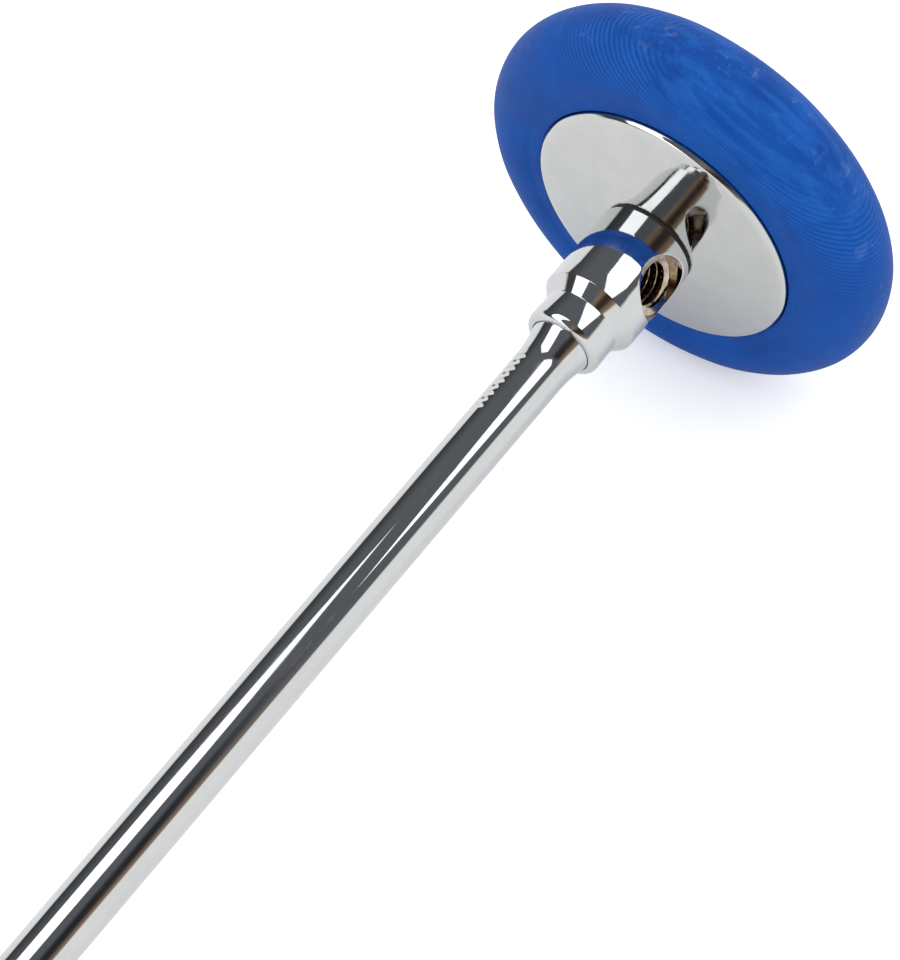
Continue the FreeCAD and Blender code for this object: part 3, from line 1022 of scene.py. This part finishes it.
def rubber():
    """Blue rubber: a cloud of two blues, lighter on the comb's crests and on the painted sheen streaks, and
    pale where the tread is scuffed.
    """
    material, tree, shader = new_finish("blue_rubber")
    shader.inputs["Specular IOR Level"].default_value = 0.10
    place = hammer_mapping(tree, comb_and_sheen_turn)
    ridges_and_sheen = comb(tree, place)
    from_axis = add(tree, "ShaderNodeVectorMath", {0: place, 1: (1, 1, 0)}, operation="MULTIPLY").outputs[0]
    from_axis = add(tree, "ShaderNodeVectorMath", {0: from_axis}, operation="LENGTH").outputs["Value"]
    tread = remap(tree, from_axis, ring_outer_radius - 1.6, ring_outer_radius - 0.1)
    rubbed = noise(tree, place, 0.55, 8.0, roughness=0.68, distortion=0.5)
    scuff = times(tree, tread, remap(tree, rubbed, 0.56, 0.76))
    cloud = remap(tree, noise(tree, place, 0.13, 5.0), 0.35, 0.68)

    colour = mix_colour(tree, cloud, rubber_dark, rubber_blue)
    # Lighter on the combed crests and on the painted sheen streaks.
    colour = mix_colour(tree, times(tree, ridges_and_sheen, 0.65), colour, ridge_and_sheen_blue)
    colour = mix_colour(tree, times(tree, scuff, 0.7), colour, rubber_pale)
    tree.links.new(colour, shader.inputs["Base Color"])
    rough = math_node(tree, "MULTIPLY_ADD", scuff, 0.2, 0.5)
    rough = math_node(tree, "ADD", rough, times(tree, cloud, 0.08))
    tree.links.new(rough, shader.inputs["Roughness"])

    soft = bump(tree, rubbed, scuff_depth)
    fine = bump(tree, noise(tree, place, 5.0, 3.0), grain_depth, under=soft)
    tree.links.new(bump(tree, ridges_and_sheen, ridge_depth, under=fine), shader.inputs["Normal"])
    return material


blue_rubber = rubber()
print("rubber comb pitch", comb_pitch, "mm")


# %% [markdown]
# ### Washers
# The fibre washer is dull and painted nearly black, as shade for the seam it fills, and the nylon one is
# milky. Both are moulded or punched, so a fine noise in colour and bump is all that they show.

# %% Dull finishes
def dull(name, light, dark, roughness, grain_scale, grain_depth):
    """A matt finish: two close colours mixed by noise, with the same noise as bump. Depth in
    micrometres."""
    material, tree, shader = new_finish(name)
    place = hammer_mapping(tree)
    grain = noise(tree, place, grain_scale, 5.0)
    cloud = use_group(tree, haze, Vector=place, Scale=0.5, Cover=0.5)["Mask"]
    tree.links.new(mix_colour(tree, grain, dark, light), shader.inputs["Base Color"])
    tree.links.new(math_node(tree, "MULTIPLY_ADD", cloud, 0.15, roughness), shader.inputs["Roughness"])
    tree.links.new(bump(tree, grain, grain_depth), shader.inputs["Normal"])
    return material


# Nearly black: painted shade for the seam between the neck and the back plate.
fibre_seam_shade = dull("fibre_seam_shade", (0.022, 0.022, 0.024), (0.008, 0.008, 0.009), 0.6, 6.0, 12.0)
white_nylon = dull("white_nylon", (0.84, 0.83, 0.79), (0.76, 0.75, 0.71), 0.45, 4.0, 6.0)

# %% Give each piece its finish
finishes = {
    striking_ring: blue_rubber, back_plate: plate_chrome, front_plate: plate_chrome, hub: hub_metal,
    neck: neck_chrome, clamp_nut: neck_chrome, neck_washer: fibre_seam_shade, lock_washer: white_nylon,
    handle_rod: handle_chrome,
}
for piece, material in finishes.items():
    piece.data.materials.append(material)
    hidden = frame["nodes"][piece["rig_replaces"][0]].data.materials
    hidden.clear()
    hidden.append(material)
print("finished", len(finishes), "pieces")

# %% [markdown]
# ## Studio
# Chrome shows only what is around it, so the studio is designed as what the chrome should mirror: a pale
# wall low on both sides, a dark slate ceiling, and two softboxes in it. One hangs over the head and narrows
# to a wedge above the handle, and the other one starts where the first ends. Beyond them the ceiling turns
# brown. Soft surfaces don't see any of this: they get one even light, so the rubber and the floor stay calm.
# The camera sees plain white paper.

# %% Floor
floor_half_width = 6.0
paper_glow = 0.32  # extra white towards the camera
floor_points = floor_half_width * np.array(((-1, -1, 0), (1, -1, 0), (1, 1, 0), (-1, 1, 0)))
floor_mesh = bpy.data.meshes.new("floor")
floor_mesh.from_pydata(floor_points.tolist(), [], [(0, 1, 2, 3)])
floor = bpy.data.objects.new("floor", floor_mesh)
bpy.context.scene.collection.objects.link(floor)
paper, paper_tree, paper_shader = new_finish("white_paper")
paper_shader.inputs["Base Color"].default_value = (0.9, 0.9, 0.9, 1)
paper_shader.inputs["Roughness"].default_value = 0.9
paper_shader.inputs["Specular IOR Level"].default_value = 0.1
paper_shader.inputs["Emission Color"].default_value = (1, 1, 1, 1)
paper_seen = add(paper_tree, "ShaderNodeLightPath").outputs["Is Camera Ray"]
paper_tree.links.new(times(paper_tree, paper_seen, paper_glow), paper_shader.inputs["Emission Strength"])
floor_mesh.materials.append(paper)

# %% Colours of the room
slate = (0.135, 0.143, 0.157)
dark_slate = (0.062, 0.064, 0.068)
near_black = (0.02, 0.018, 0.016)
wall = (1.07, 1.075, 1.04)
brown = (0.32, 0.215, 0.145)
even_light = 1.2
softbox = 2.2
backdrop = 1.02


def between(tree, value, low, high, soft):
    """1 between two edges, easing to 0 over a soft width on each side of both."""
    over_low = remap(tree, math_node(tree, "SUBTRACT", value, low), -soft, soft)
    under_high = remap(tree, math_node(tree, "SUBTRACT", high, value), -soft, soft)
    return times(tree, over_low, under_high)


# %% Masks of the room
# `angle` is in degrees about the length of the room, from one side over the top to the other. `lengthwise`
# is the direction's share along the room, from -1 behind the handle to 1 beyond the head.
world = bpy.data.worlds.new("studio")
bpy.context.scene.world = world
world.use_nodes = True
sky = world.node_tree
background = sky.nodes["Background"]
direction = add(sky, "ShaderNodeTexCoord").outputs["Generated"]
parts = add(sky, "ShaderNodeSeparateXYZ", {"Vector": direction}).outputs
lengthwise = parts["X"]
angle = math_node(sky, "DEGREES", math_node(sky, "ARCTAN2", parts["Z"], parts["Y"]))
past_head = math_node(sky, "MAXIMUM", math_node(sky, "SUBTRACT", lengthwise, 0.41), 0.0)
short_of_head = math_node(sky, "MAXIMUM", math_node(sky, "SUBTRACT", 0.42, lengthwise), 0.0)
over_handle = remap(sky, lengthwise, 0.34, 0.27)

ceiling_low = math_node(sky, "MULTIPLY_ADD", past_head, 270.0, 11.0)
ceiling_high = remap(sky, lengthwise, 0.42, 0.48, 157.5, 151.0)
ceiling = between(sky, angle, ceiling_low, ceiling_high, 4.0)
brown_start = remap(sky, lengthwise, -0.3, 0.25, 96.0, 136.0)
browned = remap(sky, math_node(sky, "SUBTRACT", angle, brown_start), 0.0, 18.0)
browned = times(sky, over_handle, browned)
shade = between(sky, angle, 118.0, 144.0, 9.0)
shade = times(sky, shade, remap(sky, lengthwise, 0.31, 0.23, 0.0, 0.9))

wedge_low = math_node(sky, "MULTIPLY_ADD", short_of_head, 400.0, 77.0)
wedge_high = math_node(sky, "MULTIPLY_ADD", short_of_head, -147.0, 140.3)
first_box = between(sky, angle, wedge_low, wedge_high, 0.9)
second_middle = math_node(sky, "MULTIPLY_ADD", lengthwise, 30.0, 67.0)
off_middle = math_node(sky, "SUBTRACT", angle, second_middle)
second_half = math_node(sky, "MULTIPLY_ADD", lengthwise, -260.0, 79.0)
second_half = math_node(sky, "MINIMUM", second_half, 18.0)
second_box = between(sky, math_node(sky, "ABSOLUTE", off_middle), -90.0, second_half, 1.5)
boxes = math_node(sky, "MAXIMUM", first_box, second_box)

# %% Paint the room and split the rays
slate_tone = mix_colour(sky, remap(sky, angle, 14.0, 60.0), dark_slate, slate)
mirrored_room = mix_colour(sky, browned, slate_tone, brown)
mirrored_room = mix_colour(sky, shade, mirrored_room, near_black)
mirrored_room = mix_colour(sky, ceiling, wall, mirrored_room)
mirrored_room = mix_colour(sky, boxes, mirrored_room, (softbox,) * 3)

ray = add(sky, "ShaderNodeLightPath").outputs
lit = mix_colour(sky, ray["Is Glossy Ray"], (even_light,) * 3, mirrored_room)
lit = mix_colour(sky, ray["Is Camera Ray"], lit, (backdrop,) * 3)
sky.links.new(lit, background.inputs["Color"])
bpy.context.scene.view_settings.view_transform = "Standard"
print("studio: even light", even_light, "softboxes", softbox, "nodes", len(sky.nodes))
